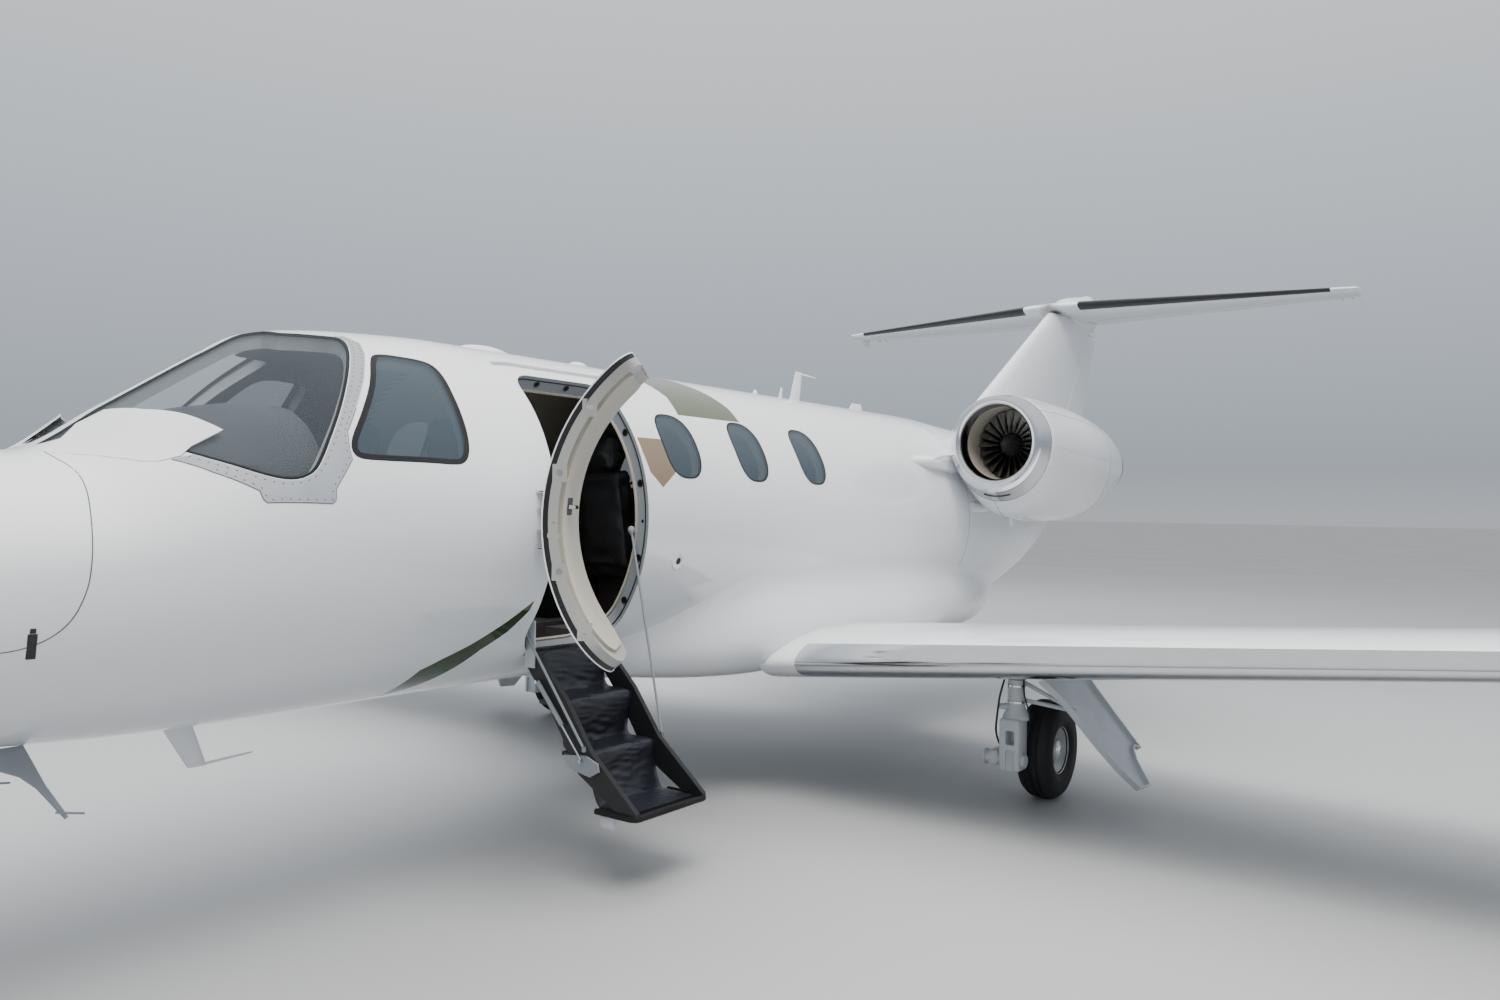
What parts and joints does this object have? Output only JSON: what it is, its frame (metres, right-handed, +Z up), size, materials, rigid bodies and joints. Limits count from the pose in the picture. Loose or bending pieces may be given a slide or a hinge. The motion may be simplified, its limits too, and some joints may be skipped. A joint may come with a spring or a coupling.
{
  "type": "light twin-engine business jet",
  "caption": "Light business jet standing on its gear, with a hollow cabin, an open hinged door, folding stairs, spinning fans and wheels, steering and moving control surfaces.",
  "frame": {"origin": "on the ground under the middle of the bounding box", "axes": "nose towards -Y, left wing towards +X, +Z up"},
  "size_m": [14.26, 12.9826, 4.189],
  "materials": {
    "nose_paint": "gloss paint on aluminium",
    "gear_paint": "semi-gloss enamel",
    "composite": "painted glass-fibre composite",
    "tail_skin": "gloss paint on aluminium",
    "window": "tinted stretched acrylic",
    "tyre_rubber": "matt black tyre rubber",
    "wheel_alloy": "painted cast alloy",
    "engine_steel": "machined steel and titanium",
    "seat_leather": "dark grey leather",
    "cabin_trim": "laminate and carpet",
    "black_vinyl": "black coated fabric",
    "panel_paint": "dark textured paint on metal boxes"
  },
  "bodies": {
    "airframe": {"nose": "nose_paint", "cockpit_shell": "tail_skin", "windshield_left": "window", "windshield_right": "window", "side_window_left": "window", "side_window_right": "window", "cabin_crown": "tail_skin", "cabin_belly": "tail_skin", "cabin_side_left": "tail_skin", "cabin_side_right": "tail_skin", "cabin_window_left_1": "window", "cabin_window_left_2": "window", "cabin_window_left_3": "window", "cabin_window_right_1": "window", "cabin_window_right_2": "window", "cabin_window_right_3": "window", "cabin_window_right_4": "window", "tail_cone": "tail_skin", "floor": "cabin_trim", "instrument_panel": "panel_paint", "pilot_seat_left": "seat_leather", "pilot_seat_right": "seat_leather", "cabin_seat_1": "seat_leather", "cabin_seat_2": "seat_leather", "cabin_seat_3": "seat_leather", "cabin_seat_4": "seat_leather", "wing_left": "tail_skin", "wing_right": "tail_skin", "belly_fairing": "composite", "stabilizer": "composite", "fin": "composite", "nacelle_left": "composite", "nacelle_right": "composite", "engine_core_left": "engine_steel", "engine_core_right": "engine_steel", "main_leg_left": "gear_paint", "main_leg_right": "gear_paint", "gear_door_left": "gear_paint", "gear_door_right": "gear_paint", "nose_leg": "gear_paint", "nose_door_left": "gear_paint", "nose_door_right": "gear_paint"},
    "door": {"cabin_door": "tail_skin"},
    "stair": {"stairs": "black_vinyl"},
    "fork": {"nose_fork": "gear_paint"},
    "nose_roller": {"nose_wheel": "wheel_alloy", "nose_tyre": "tyre_rubber"},
    "left_roller": {"main_wheel_left": "wheel_alloy", "main_tyre_left": "tyre_rubber"},
    "right_roller": {"main_wheel_right": "wheel_alloy", "main_tyre_right": "tyre_rubber"},
    "left_fan": {"fan_left": "engine_steel"},
    "right_fan": {"fan_right": "engine_steel"},
    "left_flap": {"flap_left": "tail_skin"},
    "right_flap": {"flap_right": "tail_skin"},
    "left_aileron": {"aileron_left": "tail_skin"},
    "right_aileron": {"aileron_right": "tail_skin"},
    "elevators": {"elevator_left": "composite", "elevator_right": "composite"},
    "tail_rudder": {"rudder": "composite"}
  },
  "joints": [
    {"name": "door_swing", "type": "hinge", "parent": "airframe", "child": "door", "pos_m": [0.846, -3.05726, 1.58], "axis": [0, 0, 1], "range_deg": [0, 142]},
    {"name": "stairs_fold", "type": "hinge", "parent": "airframe", "child": "stair", "pos_m": [0.41, -2.72126, 0.967], "axis": [0, -1, 0], "range_deg": [0, 135]},
    {"name": "nose_steer", "type": "hinge", "parent": "airframe", "child": "fork", "pos_m": [0, -5.21626, 0.5], "axis": [0, 0, 1], "range_deg": [-20, 20]},
    {"name": "nose_wheel_spin", "type": "hinge", "parent": "fork", "child": "nose_roller", "pos_m": [0, -5.17126, 0.229], "axis": [1, 0, 0], "continuous": true},
    {"name": "left_wheel_spin", "type": "hinge", "parent": "airframe", "child": "left_roller", "pos_m": [1.98, -0.25126, 0.2795], "axis": [1, 0, 0], "continuous": true},
    {"name": "right_wheel_spin", "type": "hinge", "parent": "airframe", "child": "right_roller", "pos_m": [-1.98, -0.25126, 0.2795], "axis": [1, 0, 0], "continuous": true},
    {"name": "left_fan_spin", "type": "hinge", "parent": "airframe", "child": "left_fan", "pos_m": [1.158, 1.18874, 2.136], "axis": [0, 1, 0], "continuous": true},
    {"name": "right_fan_spin", "type": "hinge", "parent": "airframe", "child": "right_fan", "pos_m": [-1.158, 1.18874, 2.136], "axis": [0, 1, 0], "continuous": true},
    {"name": "left_flap_hinge", "type": "hinge", "parent": "airframe", "child": "left_flap", "pos_m": [1, 0.18, 0.81646], "axis": [-0.9876, 0.1317, -0.085], "range_deg": [0, 35]},
    {"name": "right_flap_hinge", "type": "hinge", "parent": "airframe", "child": "right_flap", "pos_m": [-1, 0.18, 0.81646], "axis": [-0.9876, -0.1317, 0.085], "range_deg": [0, 35]},
    {"name": "left_aileron_hinge", "type": "hinge", "parent": "airframe", "child": "left_aileron", "pos_m": [4.2, -0.24681, 1.09197], "axis": [-0.9876, 0.1317, -0.085], "range_deg": [-18, 18]},
    {"name": "right_aileron_hinge", "type": "hinge", "parent": "airframe", "child": "right_aileron", "pos_m": [-4.2, -0.24681, 1.09197], "axis": [-0.9876, -0.1317, 0.085], "range_deg": [-18, 18]},
    {"name": "elevator_hinge", "type": "hinge", "parent": "airframe", "child": "elevators", "pos_m": [0, 5.86374, 3.865], "axis": [-1, 0, 0], "range_deg": [-20, 15]},
    {"name": "rudder_hinge", "type": "hinge", "parent": "airframe", "child": "tail_rudder", "pos_m": [0, 5.36074, 2.784], "axis": [0, 0.6116, 0.7912], "range_deg": [-22, 22]}
  ],
  "couplings": [
    {"joint": "right_flap_hinge", "follows": "left_flap_hinge", "ratio": 1},
    {"joint": "right_aileron_hinge", "follows": "left_aileron_hinge", "ratio": -1}
  ]
}
